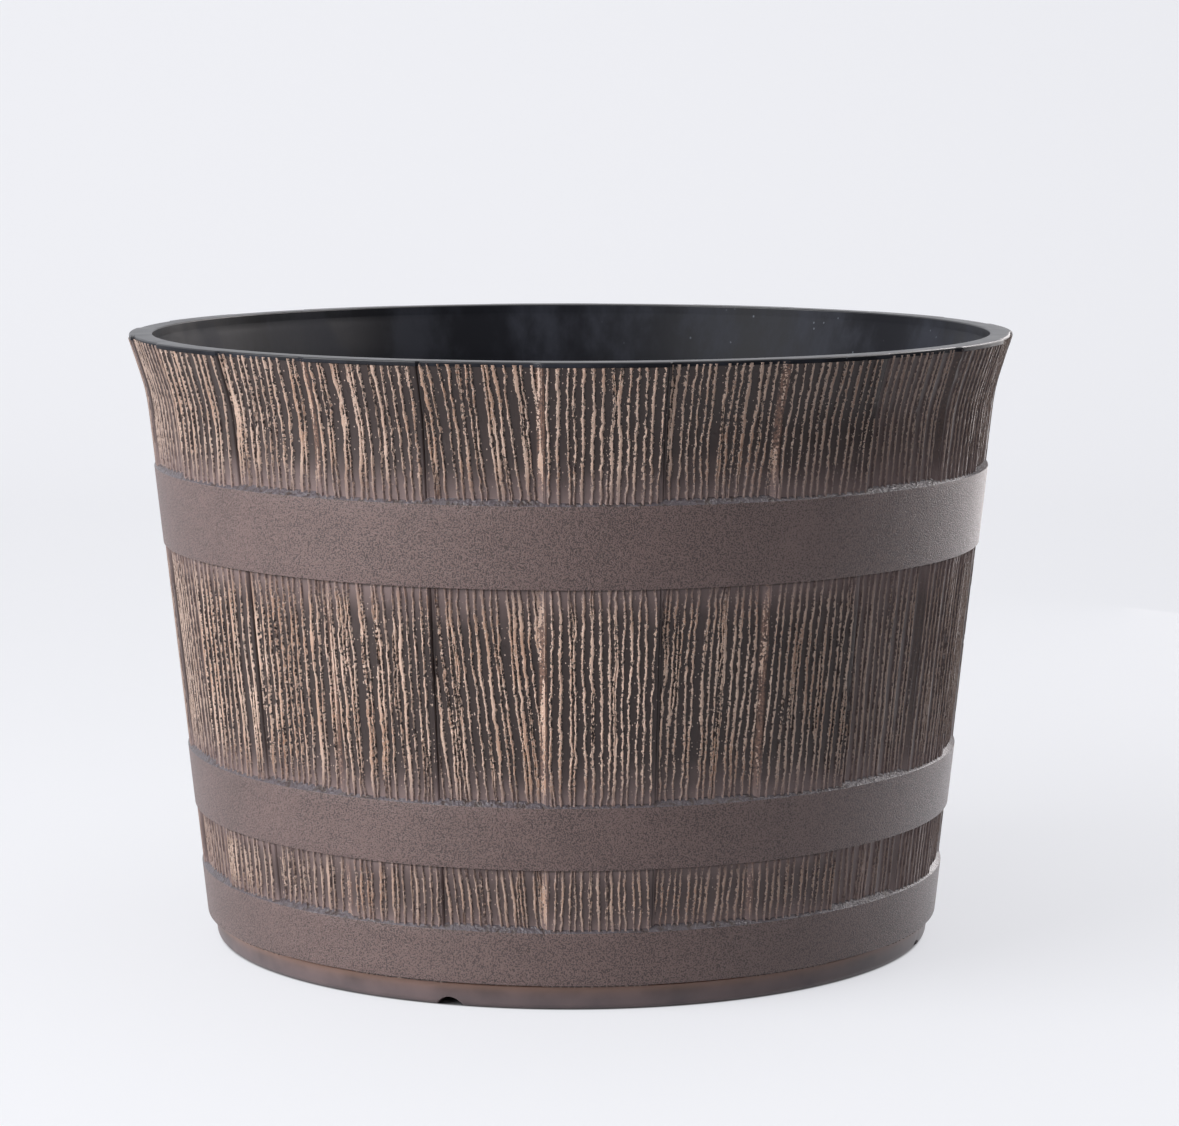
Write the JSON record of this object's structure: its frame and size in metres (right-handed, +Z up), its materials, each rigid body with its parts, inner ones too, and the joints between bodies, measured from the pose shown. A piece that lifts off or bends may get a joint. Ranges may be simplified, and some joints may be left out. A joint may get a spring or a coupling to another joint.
{
  "type": "barrel planter",
  "caption": "Round tapered planter with barrel staves, proud and recessed in turn, three hoops, a flared rim, a notched foot ring and a drain plug.",
  "frame": {"origin": "on the ground in the middle of the foot ring", "axes": "+Z up along the planter's own axis; the pictured side faces -Y and +X is to its right"},
  "size_m": [0.4998, 0.4998, 0.345],
  "materials": {
    "stave": "dark charcoal with dry-brushed tan grain",
    "hoop": "taupe brown, fine sand texture",
    "pot": "smooth black satin",
    "plug": "black, matt"
  },
  "bodies": {
    "planter": {"inner_pot": "pot", "foot_ring": "hoop", "upper_hoop": "hoop", "middle_hoop": "hoop", "base_hoop": "hoop", "stave_01": "stave", "stave_02": "stave", "stave_03": "stave", "stave_04": "stave", "stave_05": "stave", "stave_06": "stave", "stave_07": "stave", "stave_08": "stave", "stave_09": "stave", "stave_10": "stave", "stave_11": "stave", "stave_12": "stave", "stave_13": "stave", "stave_14": "stave", "stave_15": "stave", "stave_16": "stave", "stave_17": "stave", "stave_18": "stave", "stave_19": "stave", "stave_20": "stave", "stave_21": "stave", "stave_22": "stave", "stave_23": "stave", "stave_24": "stave"},
    "plug": {"drain_plug": "plug"}
  },
  "joints": [
    {"name": "plug_lift", "type": "slide", "parent": "planter", "child": "plug", "axis": [0, 0, 1], "range_m": [0, 0.06]}
  ]
}
